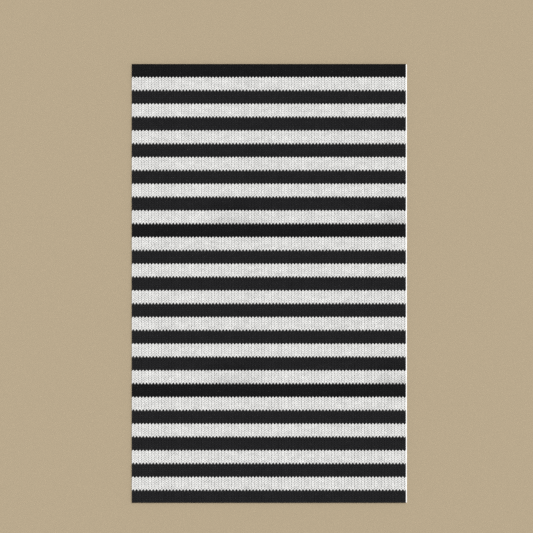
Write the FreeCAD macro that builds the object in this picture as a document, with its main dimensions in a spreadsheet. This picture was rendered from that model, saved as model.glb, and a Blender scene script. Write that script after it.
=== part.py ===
import FreeCAD, Part
import os

import Sketcher

# A flat rectangular sheet of striped stockinette knit, bonded onto a white backing sheet.
# Frame, in millimetres: X across the sheet, along the stripes; Y along the sheet, towards
# the end that the stitches' Vs open to; Z up, out of the knit's face. The origin is the
# centre of the underside. The knit stops short of the backing's +X edge and leaves a bare
# margin there.

SIZES = {
    "panel_width": 200.0,
    "panel_length": 318.8,
    "margin_width": 0.9,
    "stripe_pitch": 9.68,
    "first_stripe": 9.2,
    "stripe_count": 33,
    "backing_thick": 0.8,
    "film_thick": 0.1,
    "knit_thick": 1.2,
}

KNIT_WIDTH = "Sizes.panel_width - Sizes.margin_width"
LEFT_EDGE = "-Sizes.panel_width / 2"
NEAR_END = "-Sizes.panel_length / 2"
KNIT_FLOOR = "Sizes.backing_thick + Sizes.film_thick"
# The sheet is cut through its first and last stripes, and the ones between them are a
# whole pitch long.
FIRST_STRIPE_END = "Sizes.panel_length / 2 - Sizes.first_stripe"
WHOLE_STRIPES = "(Sizes.stripe_count - 2) * Sizes.stripe_pitch"
LAST_STRIPE = f"Sizes.panel_length - Sizes.first_stripe - {WHOLE_STRIPES}"


def make_sizes(doc):
    """The spreadsheet that drives every solid, with one named cell for each size."""
    sheet = doc.addObject("Spreadsheet::Sheet", "Sizes")
    for row, (name, value) in enumerate(SIZES.items(), start=1):
        sheet.set(f"A{row}", name)
        sheet.set(f"B{row}", str(value))
        sheet.setAlias(f"B{row}", name)
    doc.recompute()


def add_outline(body, width, length):
    """A rectangle on the body's XY plane, from its origin to (width, length)."""
    sketch = body.newObject("Sketcher::SketchObject", body.Name + "_outline")
    planes = {item.Role: item for item in body.Origin.OriginFeatures}
    sketch.AttachmentSupport = (planes["XY_Plane"], [""])
    sketch.MapMode = "FlatFace"
    corners = [FreeCAD.Vector(x, y, 0) for x, y in [(0, 0), (100, 0), (100, 10), (0, 10)]]
    for side in range(4):
        sketch.addGeometry(Part.LineSegment(corners[side], corners[(side + 1) % 4]), False)
    for side in range(4):
        sketch.addConstraint(Sketcher.Constraint("Coincident", side, 2, (side + 1) % 4, 1))
    for side, direction in enumerate(["Horizontal", "Vertical", "Horizontal", "Vertical"]):
        sketch.addConstraint(Sketcher.Constraint(direction, side))
    sketch.addConstraint(Sketcher.Constraint("Coincident", 0, 1, -1, 1))
    for side, name, size in [(0, "width", width), (1, "length", length)]:
        index = sketch.addConstraint(Sketcher.Constraint("Distance", side, 50.0))
        sketch.renameConstraint(index, name)
        sketch.setExpression("Constraints." + name, size)
    return sketch


def add_layer(doc, name, width, length, thickness, near_edge, floor):
    """One flat piece: its outline padded to its thickness, with its left edge on the
    sheet's, its nearer edge at near_edge along Y and its underside at floor."""
    body = doc.addObject("PartDesign::Body", name)
    body.Label = name
    pad = body.newObject("PartDesign::Pad", name + "_pad")
    pad.Profile = add_outline(body, width, length)
    pad.setExpression("Length", thickness)
    body.Tip = pad
    body.setExpression("Placement.Base.x", LEFT_EDGE)
    body.setExpression("Placement.Base.y", near_edge)
    body.setExpression("Placement.Base.z", floor)
    return body


def add_stripe(doc, number):
    """The knitted band of one yarn, counted from the far end. Odd bands are black, even
    bands are white, and there is a black band at both ends."""
    colour = "black" if number % 2 else "white"
    name = f"{colour}_stripe_{(number + 1) // 2:02d}"
    length = "Sizes.stripe_pitch"
    near_edge = f"{FIRST_STRIPE_END} - {number - 1} * Sizes.stripe_pitch"
    if number == 1:
        length = "Sizes.first_stripe"
    if number == SIZES["stripe_count"]:
        length = LAST_STRIPE
        near_edge = NEAR_END
    thickness = "Sizes.knit_thick"
    return add_layer(doc, name, KNIT_WIDTH, length, thickness, near_edge, KNIT_FLOOR)


def build(doc):
    make_sizes(doc)
    backing_width, length = "Sizes.panel_width", "Sizes.panel_length"
    thick, film = "Sizes.backing_thick", "Sizes.film_thick"
    layers = [
        add_layer(doc, "backing_sheet", backing_width, length, thick, NEAR_END, "0"),
        add_layer(doc, "adhesive_film", KNIT_WIDTH, length, film, NEAR_END, thick),
    ]
    stripes = [add_stripe(doc, number + 1) for number in range(SIZES["stripe_count"])]
    doc.recompute()
    return layers + stripes


def check(doc, bodies):
    """Stops with the failed objects' names, before anything is written."""
    failed = [item.Name for item in doc.Objects if {"Invalid", "Error"} & set(item.State)]
    if failed:
        raise RuntimeError(f"failed to recompute: {failed}")
    for body in bodies:
        if body.Shape.isNull() or not body.Shape.isValid() or len(body.Shape.Solids) != 1:
            raise RuntimeError(f"{body.Label} is not one valid solid")


def main():
    doc = FreeCAD.newDocument("striped_knit_sheet")
    bodies = build(doc)
    check(doc, bodies)
    os.makedirs("parts", exist_ok=True)
    for body in bodies:
        body.Shape.exportStep(f"parts/{body.Label}.step")
        box = body.Shape.BoundBox
        print(f"{body.Label:18s} x {box.XMin:8.2f} {box.XMax:8.2f}  y {box.YMin:8.2f}"
              f" {box.YMax:8.2f}  z {box.ZMin:5.2f} {box.ZMax:5.2f}")


main()
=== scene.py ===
import math

import bmesh
import bpy
import numpy as np
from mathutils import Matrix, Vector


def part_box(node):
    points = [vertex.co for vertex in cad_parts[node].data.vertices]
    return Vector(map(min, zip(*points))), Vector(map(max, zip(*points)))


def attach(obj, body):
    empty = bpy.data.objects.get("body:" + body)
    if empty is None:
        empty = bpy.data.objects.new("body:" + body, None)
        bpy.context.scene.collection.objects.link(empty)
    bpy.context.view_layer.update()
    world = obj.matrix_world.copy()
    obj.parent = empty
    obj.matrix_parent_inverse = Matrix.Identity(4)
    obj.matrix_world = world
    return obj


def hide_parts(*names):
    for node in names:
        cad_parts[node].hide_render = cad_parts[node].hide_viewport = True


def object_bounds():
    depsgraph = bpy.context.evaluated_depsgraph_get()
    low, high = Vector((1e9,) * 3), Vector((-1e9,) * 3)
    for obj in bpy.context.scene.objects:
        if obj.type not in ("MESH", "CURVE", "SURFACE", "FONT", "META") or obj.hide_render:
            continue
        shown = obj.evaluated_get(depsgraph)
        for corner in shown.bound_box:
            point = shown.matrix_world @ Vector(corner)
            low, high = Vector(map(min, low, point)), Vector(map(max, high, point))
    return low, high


# A flat sheet of black and white striped stockinette knit on a white backing sheet.
# Every stripe is one mesh of real yarn: each course is a single tube that runs across the
# sheet in loops, with its legs on the face and its heads and sinkers behind them.
# Lengths are in metres, in the CAD's frame.

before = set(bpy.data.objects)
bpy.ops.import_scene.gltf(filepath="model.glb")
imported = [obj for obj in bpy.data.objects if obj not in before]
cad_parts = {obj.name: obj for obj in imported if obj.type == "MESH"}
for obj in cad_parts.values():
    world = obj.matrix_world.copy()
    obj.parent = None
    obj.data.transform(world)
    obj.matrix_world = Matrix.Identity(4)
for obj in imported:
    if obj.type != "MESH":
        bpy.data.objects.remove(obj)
cad_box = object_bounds()

MM = 0.001
STRIPES = [f"{colour}_stripe_{n:02d}" for n in range(1, 18) for colour in ("black", "white")]
STRIPES = [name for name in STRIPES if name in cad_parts]
COURSES_PER_STRIPE = 6
WALES = 82.36  # stitches across the knit, which is cut part of the way into both end ones
FIRST_CUT = 0.45  # how much of a wale is left of the first line between two wales
SPARE_STITCHES = 2  # knitted past each side of the sheet and then cut off
SEED = 7

knit_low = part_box(STRIPES[-1])[0]
knit_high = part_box(STRIPES[0])[1]
WALE = (knit_high.x - knit_low.x) / WALES
WHOLE_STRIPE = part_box(STRIPES[1])
COURSE = (WHOLE_STRIPE[1].y - WHOLE_STRIPE[0].y) / COURSES_PER_STRIPE

# Half a loop of yarn, from the middle of a sinker, on the line between two wales, to the
# middle of a head: across in wales, up in courses from the tip of the V, how far forward
# the yarn lies, how full it is, and how much it takes of what FOOT and REACH say. The
# other half is its mirror image.
HALF_LOOP = np.array([
    (0.00, -0.70, 0.00, 0.00, 0.0, 0.0),
    (0.41, -0.60, 0.15, 0.40, 0.5, 0.0),
    (0.475, -0.40, 0.44, 0.80, 1.0, 0.0),
    (0.376, -0.13, 0.85, 0.97, 0.4, 0.0),
    (0.235, 0.28, 1.00, 1.00, 0.0, 0.0),
    (0.105, 0.69, 1.00, 1.00, 0.0, 0.7),
    (0.025, 0.96, 0.64, 0.85, 0.0, 1.0),
    (0.09, 1.16, 0.20, 0.40, 0.0, 1.0),
    (0.50, 1.26, 0.00, 0.00, 0.0, 0.0),
])
FOOT = {"black": 0.25, "white": 0.0}  # how much further forward the foot of a leg lies
REACH = {"black": 0.0, "white": -0.08}  # how much higher, in courses, a leg's top reaches
LAST_REACH = {"black": 0.0, "white": -0.2}  # and how much more in a stripe's +Y-most course
# Of a course: the V's tip above the line between two colours. The black loops are drawn
# a little further down over the white ones.
TIP_LIFT = {"black": -0.18, "white": 0.12}
LEG_WIDE = 0.173  # of a wale: half the width of a leg, where it is fullest
LEG_THICK = 0.36 * MM  # half the leg's thickness
BACK_WIDE = 0.13  # of a wale: half the width of the yarn behind the legs
BACK_THICK = 0.23 * MM
AROUND = np.radians([0, 45, 90, 135, 180, 237, 303])  # the yarn's outline, finest on its face
TWIST_PITCH = 2.3 * MM  # one turn of the plied yarn
TWIST_SHIFT = 0.37  # of a turn, from each course to the next

# Small differences between the stitches, which keep the knit from looking copied.
WANDER_ACROSS = 0.018  # of a wale
WANDER_UP = 0.022  # of a course
WANDER_SWELL = 0.03  # of the yarn's width and thickness
WANDER_OUT = 0.018 * MM
NEIGHBOUR_SHARE = 0.4  # how much of a difference comes from the neighbour's
# Every needle leaves a faint line of its own along its wale.
NEEDLE_LEAN = 0.014  # of a wale
NEEDLE_SWELL = 0.02  # of the yarn's width and thickness

CUT_TOLERANCE = 1e-7  # how near to a cut a point counts as lying on it

# The UV map that each stripe's yarn is laid out on.
BAKE_MAP = "OFBake"
ROWS_PER_COURSE = 7  # each course's yarn is laid out on that map in this many rows
MAP_GAP = 0.1  # of a row, left empty at each side of it

# The black yarn is darker in the first stripe of every twelve. The stripes before it are faintly
# darker towards it, in patches a repeat apart.
REPEAT = 12
PATCH_AT = -26 * MM
PATCH_REACH = 24 * MM
PATCH_FALL = 1.5  # how sharply the darkening gathers towards a stripe's near edge
DEEP_BLACK = 0.61  # of the black yarn's colour
WHITE_DARKENING = 0.2  # how much of its colour the yarn loses where it is darkest
BLACK_DARKENING = 0.3

WHITE_YARN = (0.85, 0.85, 0.836)
WHITE_PAINTED_SHADE = (0.13, 0.13, 0.126)  # painted shade, deep between the stitches
BLACK_YARN = (0.0188, 0.0188, 0.0202)
BLACK_PAINTED_SHADE = (0.002, 0.002, 0.002)
PAINTED_SHADE_FROM = 0.5 * MM  # above the knit's underside: where the painted shade is darkest
PAINTED_SHADE_TO = 1.16 * MM  # and where it has its full colour
# How light the yarn is, as shares of its colour, from the least to the most of each thing.
PLY_PAINTED_SHADE = (0.78, 1.0)  # painted shade, from the groove between the plies to their crowns
FIBRE_TONES = (0.93, 1.05)
PATCHY_TONES = (0.95, 1.04)
YARN_ROUGHNESS = (0.82, 0.97)
FIBRES_ALONG = 2.2  # fibres' noise: how often it changes in one turn of the twist
FIBRES_AROUND = 16.0
FIBRE_RELIEF = 0.45  # of the plies' relief
FUZZ_RELIEF = 0.3
# The backing from its thin places to its clumps, and the adhesive in its cloudy patches, greyed
# with painted shade.
BACKING_COLOURS = ((0.93, 0.93, 0.925), (0.98, 0.98, 0.975))
BACKING_ROUGHNESS = (0.7, 0.9)
ADHESIVE_PAINTED_SHADE_COLOURS = ((0.3, 0.295, 0.28), (0.42, 0.415, 0.4))
ADHESIVE_ROUGHNESS = (0.32, 0.55)

MOST_NOISE = (0.3, 0.7)  # the values that most of a noise lies between
MIDDLE_NOISE = (0.35, 0.65)
# Cells of noise in a metre.
FUZZ_CELLS = 5200.0
PATCHY_CELLS = 330.0
BACKING_FIBRE_CELLS = 2600.0
BACKING_CLUMP_CELLS = 260.0
ADHESIVE_CLOUD_CELLS = 700.0

LAYER_STEP = 2 * MM  # between the points of the backing's and the film's meshes
BACKING_ROUNDING = 0.22 * MM  # how far in from its cut edge a layer's upper face is rounded
FILM_ROUNDING = 0.03 * MM
UNDER_ROUNDING = 0.35  # how much of that rounding the underside has
FILM_RIPPLE = 0.012 * MM
BACKING_WAVER = 0.05 * MM  # how far a layer's cut edge strays from straight
FILM_WAVER = 0.04 * MM
WAVER_REACH = 4 * MM  # how far in from the edge that is felt

LENS = 85
CAMERA_ACROSS = -2.13 * MM
CAMERA_UP = 12.3 * MM
CAMERA_HEIGHT = 0.9138  # above the knit
KEY_STRENGTH = 2.3
KEY_ANGLE = math.radians(35)
KEY_TURN = (math.radians(-13), math.radians(15), 0)
SKY_STRENGTH = 0.63

FLOOR_COLOUR = (0.37, 0.3, 0.2)
WALL_COLOUR = (0.7, 0.69, 0.67)
FADE_FROM = 0.5  # from the middle of the floor: where its colour starts to fade into the wall's
FADE_TO = 1.9
FLAT_RADIUS = 2.2
BEND_RADIUS = 1.2
WALL_TOP = 1.7
FLOOR_GAP = 0.02 * MM  # below the part


def smooth_noise(rng, shape):
    """Values near zero that drift from each one to the next."""
    values = rng.standard_normal(shape)
    return (1 - NEIGHBOUR_SHARE) * values + NEIGHBOUR_SHARE * np.roll(values, 1, axis=-1)


def course_paths(tips, colour, rng):
    """The centre line and the half width and thickness of each course of one stripe. The
    needles' lines are the same in every stripe."""
    back_again = HALF_LOOP[-2:0:-1] * (-1, 1, 1, 1, 1, 1) + (1, 0, 0, 0, 0, 0)
    loop = np.concatenate([HALF_LOOP, back_again])
    stitches = int(WALES) + 2 * SPARE_STITCHES
    across, up, front, full, foot, top = np.tile(loop, (stitches, 1)).T
    front = front + FOOT[colour] * foot
    reach = np.full(len(tips), REACH[colour])
    reach[-1] += LAST_REACH[colour]
    up = up + np.outer(reach, top)
    stitch = np.repeat(np.arange(stitches), len(loop))
    part = np.tile(np.arange(len(loop)) / len(loop), stitches)

    def blend(values):
        return values[..., stitch] * (1 - part) + values[..., stitch + 1] * part

    drift = [blend(smooth_noise(rng, (len(tips), stitches + 1))) for _ in range(4)]
    needles = np.random.default_rng(SEED)
    lean, fullness = [blend(needles.standard_normal(stitches + 1)) for _ in range(2)]

    first_line = knit_low.x + (FIRST_CUT - SPARE_STITCHES) * WALE
    x = first_line + WALE * (stitch + across + WANDER_ACROSS * drift[0] + NEEDLE_LEAN * lean)
    y = tips[:, None] + COURSE * (up + WANDER_UP * drift[1])
    swell = 1 + WANDER_SWELL * drift[2] + NEEDLE_SWELL * fullness
    wide = WALE * (BACK_WIDE + (LEG_WIDE - BACK_WIDE) * full) * swell
    thick = (BACK_THICK + (LEG_THICK - BACK_THICK) * full) * swell
    low, high = knit_low.z + BACK_THICK, knit_high.z - LEG_THICK
    z = low + (high - low) * front + WANDER_OUT * drift[3]
    return np.stack([x, y, z], axis=-1), wide, thick


def tube(path, wide, thick):
    """Points and quads of one tube along a path, flattened across the knit's face, and
    for each quad's corners how many turns of twist they are along and around the yarn."""
    runs = np.diff(path, axis=0)
    lengths = np.linalg.norm(runs, axis=1)
    runs /= lengths[:, None]
    along = np.concatenate([runs[:1], runs[:-1] + runs[1:], runs[-1:]])
    along /= np.linalg.norm(along, axis=1, keepdims=True)
    side = np.cross(along, [0.0, 0.0, 1.0])
    side /= np.linalg.norm(side, axis=1, keepdims=True)
    up = np.cross(side, along)
    ring = len(AROUND)
    points = (
        path[:, None, :]
        + np.cos(AROUND)[None, :, None] * (wide[:, None] * side)[:, None, :]
        + np.sin(AROUND)[None, :, None] * (thick[:, None] * up)[:, None, :]
    )
    steps = np.arange(len(path) - 1)[:, None]
    here, following = np.arange(ring), (np.arange(ring) + 1) % ring
    start, end = steps * ring, (steps + 1) * ring
    quads = np.stack([start + here, start + following, end + following, end + here], axis=-1)

    turns = np.concatenate([[0], np.cumsum(lengths)]) / TWIST_PITCH
    angle = np.append(AROUND, AROUND[0] + 2 * np.pi) / (2 * np.pi)
    twist = np.zeros((*quads.shape, 2))
    twist[..., :2, 0] = turns[:-1, None, None]
    twist[..., 2:, 0] = turns[1:, None, None]
    twist[..., (0, 3), 1] = angle[:-1, None]
    twist[..., (1, 2), 1] = angle[1:, None]
    return points.reshape(-1, 3), quads.reshape(-1, 4), twist.reshape(-1, 2)


def flat_map(courses, segments):
    """Where every quad's corners lie on a flat map of a whole stripe. The yarn of each
    course is slit along its back, opened flat and laid out in rows under each other."""
    per_row = math.ceil(segments / ROWS_PER_COURSE)
    segment, side = np.arange(segments), np.arange(len(AROUND))
    left = (segment % per_row)[:, None, None] / per_row
    row = np.arange(courses)[:, None] * ROWS_PER_COURSE + segment // per_row
    edges = MAP_GAP + (1 - 2 * MAP_GAP) * np.stack([side, side + 1]) / len(AROUND)
    rows = courses * ROWS_PER_COURSE
    low, high = (row[:, :, None, None] + edges[:, None, None, :, None]) / rows
    corners = np.zeros((courses, segments, len(AROUND), 4, 2))
    corners[..., :2, 0] = left
    corners[..., 2:, 0] = left + 1 / per_row
    corners[..., (0, 3), 1] = low
    corners[..., (1, 2), 1] = high
    return corners


def mesh_from(name, points, quads):
    mesh = bpy.data.meshes.new(name)
    mesh.vertices.add(len(points))
    mesh.vertices.foreach_set("co", points.ravel())
    mesh.loops.add(quads.size)
    mesh.loops.foreach_set("vertex_index", quads.ravel())
    mesh.polygons.add(len(quads))
    mesh.polygons.foreach_set("loop_start", np.arange(len(quads)) * 4)
    mesh.update(calc_edges=True)
    return mesh


def extend_map(end, layer):
    """Gives each corner of a cut end the place on the map that the surface beside it has
    there, so that the end takes that surface's colours."""
    for corner in end.loops:
        beside = corner.link_loop_radial_next
        if beside.vert != corner.vert:
            beside = beside.link_loop_next
        corner[layer].uv = beside[layer].uv


def cut(mesh, planes):
    """Trims a mesh of tubes at each plane, given as a point and the direction that is cut
    away, and closes every open end with a flat face."""
    bm = bmesh.new()
    bm.from_mesh(mesh)
    for face in bm.faces:
        face.smooth = True
    for point, away in planes:
        everything = bm.verts[:] + bm.edges[:] + bm.faces[:]
        bmesh.ops.bisect_plane(
            bm, geom=everything, dist=CUT_TOLERANCE, plane_co=point, plane_no=away,
            clear_outer=True,
        )
        open_edges = [edge for edge in bm.edges if edge.is_boundary]
        for end in bmesh.ops.holes_fill(bm, edges=open_edges, sides=0)["faces"]:
            end.smooth = False
            extend_map(end, bm.loops.layers.uv[BAKE_MAP])
    bmesh.ops.recalc_face_normals(bm, faces=bm.faces[:])
    bm.to_mesh(mesh)
    bm.free()


def add_object(name, mesh):
    piece = bpy.data.objects.new(name, mesh)
    bpy.context.scene.collection.objects.link(piece)
    return piece


def tone(points, index):
    """How light the yarn is at each point of a stripe, as a share of its colour. The darkening
    fades out along the stripe on both sides of its patch."""
    is_black = index % 2 == 0
    place = index % REPEAT
    full = np.ones(len(points))
    if place == 0:
        return full * DEEP_BLACK
    if place < REPEAT - 2:
        return full
    low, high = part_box(STRIPES[index])
    span = REPEAT * (WHOLE_STRIPE[1].y - WHOLE_STRIPE[0].y)
    away = (points[:, 0] - PATCH_AT + span / 2) % span - span / 2
    patch = np.exp(-((away / PATCH_REACH) ** 2) * 2)
    nearer = np.clip((high.y - points[:, 1]) / (high.y - low.y), 0, 1)
    return full - (BLACK_DARKENING if is_black else WHITE_DARKENING) * patch * nearer**PATCH_FALL


def store(mesh, name, kind, domain, field, values):
    layer = mesh.attributes.new(name, kind, domain)
    layer.data.foreach_set(field, np.asarray(values, dtype=np.float32).ravel())


def knit_stripe(node, index):
    """The knitted band that stands for one stripe's node."""
    low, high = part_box(node)
    colour = node.split("_")[0]
    first, last = node == STRIPES[0], node == STRIPES[-1]
    foot = low.y if not last else high.y - COURSES_PER_STRIPE * COURSE
    rows = np.arange(-1 if last else 0, COURSES_PER_STRIPE + (1 if first else 0))
    tips = foot + COURSE * (rows + TIP_LIFT[colour])
    rng = np.random.default_rng(SEED + index)
    paths, wide, thick = course_paths(tips, colour, rng)
    points, quads, twists, count = [], [], [], 0
    for path, across, deep in zip(paths, wide, thick):
        tube_points, tube_quads, twist = tube(path, across, deep)
        points.append(tube_points)
        quads.append(tube_quads + count)
        twists.append(twist + (TWIST_SHIFT * len(twists), 0))
        count += len(tube_points)
    points = np.concatenate(points)
    mesh = mesh_from(node + "_knit", points, np.concatenate(quads))
    twists = np.concatenate(twists)
    store(mesh, "turns_along", "FLOAT", "CORNER", "value", twists[:, 0])
    store(mesh, "turns_around", "FLOAT", "CORNER", "value", twists[:, 1])
    store(mesh, "tone", "FLOAT", "POINT", "value", tone(points, index))
    corners = flat_map(len(paths), paths.shape[1] - 1)
    mesh.uv_layers.new(name=BAKE_MAP).data.foreach_set("uv", corners.astype(np.float32).ravel())
    planes = [((low.x, 0, 0), (-1, 0, 0)), ((high.x, 0, 0), (1, 0, 0))]
    if first:
        planes.append(((0, high.y, 0), (0, 1, 0)))
    if last:
        planes.append(((0, low.y, 0), (0, -1, 0)))
    cut(mesh, planes)
    return add_object(node + "_knit", mesh)


def spread(low, high, near_edge, step):
    """Places from low to high: the given ones near each edge, then about a step apart."""
    middle = np.linspace(low + step, high - step, round((high - low) / step) - 1)
    near_edge = np.asarray(near_edge)
    return np.concatenate([low + near_edge, middle, high - near_edge[::-1]])


def thin_layer(name, node, rounding, ripple, waver, rng):
    """One closed sheet in a node's box: its cut edges are rounded over and waver a little,
    and its upper face ripples."""
    low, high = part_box(node)
    near_edge = rounding * (1 - np.cos(np.radians([0, 25, 50, 75, 90])))
    x = spread(low.x, high.x, near_edge, LAYER_STEP)
    y = spread(low.y, high.y, near_edge, LAYER_STEP)
    edge_x = np.minimum(x - low.x, high.x - x)
    edge_y = np.minimum(y - low.y, high.y - y)
    inset = np.clip(np.minimum.outer(edge_x, edge_y) / rounding, 0, 1)
    drop = rounding * (1 - np.sqrt(1 - (1 - inset) ** 2))
    inner = np.clip(np.minimum.outer(edge_x, edge_y) / WAVER_REACH, 0, 1)
    relief = ripple * rng.standard_normal(inset.shape) * (inset >= 1)
    shape = inset.shape

    sway_x = waver * smooth_noise(rng, len(y))[None, :] * (1 - inner)
    sway_y = waver * smooth_noise(rng, len(x))[:, None] * (1 - inner)
    across = x[:, None] - np.sign(x[:, None]) * np.abs(sway_x)
    up = y[None, :] - np.sign(y[None, :]) * np.abs(sway_y)
    top = np.stack([across, up, np.broadcast_to(high.z - drop - np.abs(relief), shape)], axis=-1)
    floor = np.broadcast_to(low.z + drop * UNDER_ROUNDING, shape)
    bottom = np.stack([across, up, floor], axis=-1)
    points = np.concatenate([top.reshape(-1, 3), bottom.reshape(-1, 3)])

    number = np.arange(top.size // 3).reshape(shape)
    a, b, c, d = number[:-1, :-1], number[1:, :-1], number[1:, 1:], number[:-1, 1:]
    face = np.stack([a, b, c, d], axis=-1).reshape(-1, 4)
    under = face[:, ::-1] + number.size
    rim = np.concatenate([number[:, 0], number[-1, 1:], number[-2::-1, -1], number[0, -2::-1]])
    wall = np.stack([rim[:-1], rim[1:]], axis=-1)
    side = np.concatenate([wall[:, ::-1], wall + number.size], axis=1)
    mesh = mesh_from(name, points, np.concatenate([face, under, side]))
    mesh.polygons.foreach_set("use_smooth", np.ones(len(mesh.polygons), dtype=bool))
    return add_object(name, mesh)


def add_node(tree, kind, inputs, **settings):
    """One shader node: its settings, then its inputs, each linked or given a value."""
    node = tree.nodes.new(kind)
    for key, value in settings.items():
        setattr(node, key, value)
    for key, value in inputs.items():
        if isinstance(value, bpy.types.NodeSocket):
            tree.links.new(value, node.inputs[key])
        else:
            node.inputs[key].default_value = value
    return node


def add_math(tree, operation, first, second=0.0):
    return add_node(tree, "ShaderNodeMath", {0: first, 1: second}, operation=operation).outputs[0]


def add_blend(tree, factor, first, second):
    """A colour that goes from the first to the second."""
    ends = {"Factor": factor, "A": (*first, 1), "B": (*second, 1)}
    return add_node(tree, "ShaderNodeMix", ends, data_type="RGBA").outputs["Result"]


def add_bump(tree, shader, height, strength, distance):
    inputs = {"Height": height, "Strength": strength, "Distance": distance}
    bump = add_node(tree, "ShaderNodeBump", inputs)
    tree.links.new(bump.outputs["Normal"], shader.inputs["Normal"])


def object_place(tree):
    return add_node(tree, "ShaderNodeTexCoord", {}).outputs["Object"]


def add_range(tree, value, source, target):
    """Maps one range of values onto another, and holds at its ends."""
    ends = {"From Min": source[0], "From Max": source[1], "To Min": target[0], "To Max": target[1]}
    return add_node(tree, "ShaderNodeMapRange", {"Value": value, **ends}).outputs["Result"]


def attribute(tree, name):
    return add_node(tree, "ShaderNodeAttribute", {}, attribute_name=name).outputs["Fac"]


def add_noise(tree, place, scale, detail):
    inputs = {"Vector": place, "Scale": scale, "Detail": detail}
    return add_node(tree, "ShaderNodeTexNoise", inputs).outputs["Fac"]


def new_material(name, roughness, specular):
    material = bpy.data.materials.new(name)
    material.use_nodes = True
    shader = material.node_tree.nodes["Principled BSDF"]
    shader.inputs["Roughness"].default_value = roughness
    shader.inputs["Specular IOR Level"].default_value = specular
    return material, material.node_tree, shader


def yarn_material(name, colour, painted_shade, specular, fluff):
    """Spun two-ply yarn: twisted plies, fibres along them, and painted shade in its colour where
    it lies deep between the stitches and in the grooves between its plies."""
    material, tree, shader = new_material(name, 0.9, specular)
    place = object_place(tree)
    height = add_node(tree, "ShaderNodeSeparateXYZ", {0: place}).outputs["Z"]
    deep_low, deep_high = knit_low.z + PAINTED_SHADE_FROM, knit_low.z + PAINTED_SHADE_TO
    depth = add_range(tree, height, (deep_low, deep_high), (0.0, 1.0))

    along, around = attribute(tree, "turns_along"), attribute(tree, "turns_around")
    turns = add_math(tree, "ADD", along, around)
    groove = add_math(tree, "SINE", add_math(tree, "MULTIPLY", turns, 2 * math.pi))
    ply = add_math(tree, "POWER", add_math(tree, "ABSOLUTE", groove), 0.5)
    fibre_along = add_math(tree, "MULTIPLY", along, FIBRES_ALONG)
    fibre_around = add_math(tree, "MULTIPLY", turns, FIBRES_AROUND)
    fibre_place = add_node(tree, "ShaderNodeCombineXYZ", {"X": fibre_along, "Y": fibre_around})
    fibre = add_noise(tree, fibre_place.outputs[0], 1.0, 3.0)
    fuzz = add_noise(tree, place, FUZZ_CELLS, 2.0)
    patchy = add_noise(tree, place, PATCHY_CELLS, 1.0)

    tint = attribute(tree, "tone")
    # The ply's groove darkens the colour between the plies: painted shade.
    for unevenness, source, tones in (
        (ply, (0, 1), PLY_PAINTED_SHADE),
        (fibre, MOST_NOISE, FIBRE_TONES),
        (patchy, MIDDLE_NOISE, PATCHY_TONES),
    ):
        tint = add_math(tree, "MULTIPLY", tint, add_range(tree, unevenness, source, tones))
    # Painted shade: the yarn's colour is darker the deeper it lies between the stitches.
    base = add_blend(tree, depth, painted_shade, colour)
    toned = add_node(tree, "ShaderNodeVectorMath", {0: base, "Scale": tint}, operation="SCALE")
    tree.links.new(toned.outputs["Vector"], shader.inputs["Base Color"])

    relief = add_math(tree, "ADD", ply, add_math(tree, "MULTIPLY", fibre, FIBRE_RELIEF))
    relief = add_math(tree, "ADD", relief, add_math(tree, "MULTIPLY", fuzz, FUZZ_RELIEF))
    add_bump(tree, shader, relief, 0.7, 0.07 * MM)
    rough = add_range(tree, fibre, MOST_NOISE, YARN_ROUGHNESS)
    tree.links.new(rough, shader.inputs["Roughness"])
    shader.inputs["Sheen Weight"].default_value = fluff
    shader.inputs["Sheen Roughness"].default_value = 0.6
    return material


def backing_material():
    """White nonwoven sheet: short fibres pressed flat, with faint clumps."""
    material, tree, shader = new_material("white_backing", 0.8, 0.3)
    place = object_place(tree)
    fibres = add_noise(tree, place, BACKING_FIBRE_CELLS, 4.0)
    clumps = add_noise(tree, place, BACKING_CLUMP_CELLS, 2.0)
    pale = add_math(tree, "ADD", add_math(tree, "MULTIPLY", fibres, 0.6), clumps)
    share = add_range(tree, pale, (0.6, 1.0), (0.0, 1.0))
    base = add_blend(tree, share, *BACKING_COLOURS)
    tree.links.new(base, shader.inputs["Base Color"])
    add_bump(tree, shader, fibres, 0.5, 0.06 * MM)
    rough = add_range(tree, fibres, MOST_NOISE, BACKING_ROUGHNESS)
    tree.links.new(rough, shader.inputs["Roughness"])
    return material


def film_material():
    """Set hot-melt adhesive, a little glossy, with cloudy patches. Its grey is painted shade:
    clear adhesive darkened as it lies deep between the stitches.
    """
    material, tree, shader = new_material("adhesive", 0.4, 0.45)
    place = object_place(tree)
    clouds = add_noise(tree, place, ADHESIVE_CLOUD_CELLS, 3.0)
    share = add_range(tree, clouds, MIDDLE_NOISE, (0.0, 1.0))
    base = add_blend(tree, share, *ADHESIVE_PAINTED_SHADE_COLOURS)
    tree.links.new(base, shader.inputs["Base Color"])
    rough = add_range(tree, clouds, MOST_NOISE, ADHESIVE_ROUGHNESS)
    tree.links.new(rough, shader.inputs["Roughness"])
    add_bump(tree, shader, clouds, 0.4, 0.04 * MM)
    return material


def make_camera():
    data = bpy.data.cameras.new("camera")
    data.lens = LENS
    camera = bpy.data.objects.new("camera", data)
    bpy.context.scene.collection.objects.link(camera)
    camera.location = (CAMERA_ACROSS, CAMERA_UP, knit_high.z + CAMERA_HEIGHT)
    bpy.context.scene.camera = camera


def make_lights():
    sun = bpy.data.lights.new("key", "SUN")
    sun.energy = KEY_STRENGTH
    sun.angle = KEY_ANGLE
    key = bpy.data.objects.new("key", sun)
    key.rotation_euler = KEY_TURN
    bpy.context.scene.collection.objects.link(key)
    world = bpy.data.worlds.new("studio")
    world.use_nodes = True
    sky = world.node_tree.nodes["Background"]
    sky.inputs["Color"].default_value = (1, 1, 1, 1)
    sky.inputs["Strength"].default_value = SKY_STRENGTH
    world.cycles.sampling_method = "NONE"  # an even sky is less grainy when only rays find it
    bpy.context.scene.world = world


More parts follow.
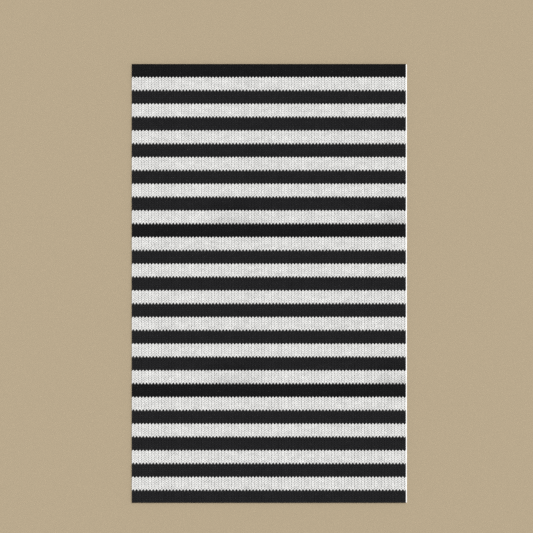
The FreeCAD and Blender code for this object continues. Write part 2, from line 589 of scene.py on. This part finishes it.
def floor_material():
    """Pale tan near the object, fading to near white before the floor turns up."""
    material, tree, shader = new_material("floor", 0.9, 0.2)
    place = object_place(tree)
    away = add_node(tree, "ShaderNodeVectorMath", {0: place}, operation="LENGTH").outputs["Value"]
    ends = {"Value": away, "From Min": FADE_FROM, "From Max": FADE_TO}
    fade = add_node(tree, "ShaderNodeMapRange", ends, interpolation_type="SMOOTHSTEP")
    base = add_blend(tree, fade.outputs["Result"], FLOOR_COLOUR, WALL_COLOUR)
    tree.links.new(base, shader.inputs["Base Color"])
    return material


def make_floor():
    """A round floor that turns up into a low wall all round, so that it has no horizon."""
    bend = np.radians(np.linspace(0, 90, 13))
    wall_radius = FLAT_RADIUS + BEND_RADIUS
    flat = [0.001, 0.6, 1.4]
    radius = np.concatenate([flat, FLAT_RADIUS + BEND_RADIUS * np.sin(bend), [wall_radius]])
    height = np.concatenate([np.zeros(3), BEND_RADIUS * (1 - np.cos(bend)), [WALL_TOP]])
    turn = np.radians(np.arange(0, 360, 5))
    points = np.stack([
        np.outer(radius, np.cos(turn)),
        np.outer(radius, np.sin(turn)),
        np.repeat(height[:, None], len(turn), axis=1),
    ], axis=-1).reshape(-1, 3)
    number = np.arange(len(points)).reshape(len(radius), len(turn))
    following = np.roll(number, -1, axis=1)
    quads = np.stack([number[:-1], number[1:], following[1:], following[:-1]], axis=-1)
    mesh = mesh_from("floor", points, quads.reshape(-1, 4))
    mesh.polygons.foreach_set("use_smooth", np.ones(len(mesh.polygons), dtype=bool))
    mesh.materials.append(floor_material())
    floor = add_object("floor", mesh)
    floor.location.z = cad_box[0].z - FLOOR_GAP


def place(piece, node, slot, material):
    """Makes a piece stand for a node, ride with the part and take its finish."""
    piece.data.materials.append(material)
    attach(piece, "root")
    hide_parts(node)


make_camera()
make_lights()
make_floor()
bpy.context.scene.view_settings.view_transform = "Standard"
bpy.context.scene.cycles.use_denoising = False  # it would smear the stitches

yarns = {
    "white": yarn_material("white_yarn", WHITE_YARN, WHITE_PAINTED_SHADE, specular=0.2, fluff=0.05),
    "black": yarn_material("black_yarn", BLACK_YARN, BLACK_PAINTED_SHADE, specular=0.06, fluff=0.0),
}
knit = []
for index, node in enumerate(STRIPES):
    colour = node.split("_")[0]
    knit.append(knit_stripe(node, index))
    place(knit[-1], node, colour + "_yarn", yarns[colour])

rng = np.random.default_rng(SEED)
backing = thin_layer(
    "backing_sheet_cloth", "backing_sheet", BACKING_ROUNDING, 0, BACKING_WAVER, rng
)
place(backing, "backing_sheet", "backing", backing_material())
film = thin_layer(
    "adhesive_film_layer", "adhesive_film", FILM_ROUNDING, FILM_RIPPLE, FILM_WAVER, rng
)
place(film, "adhesive_film", "adhesive", film_material())
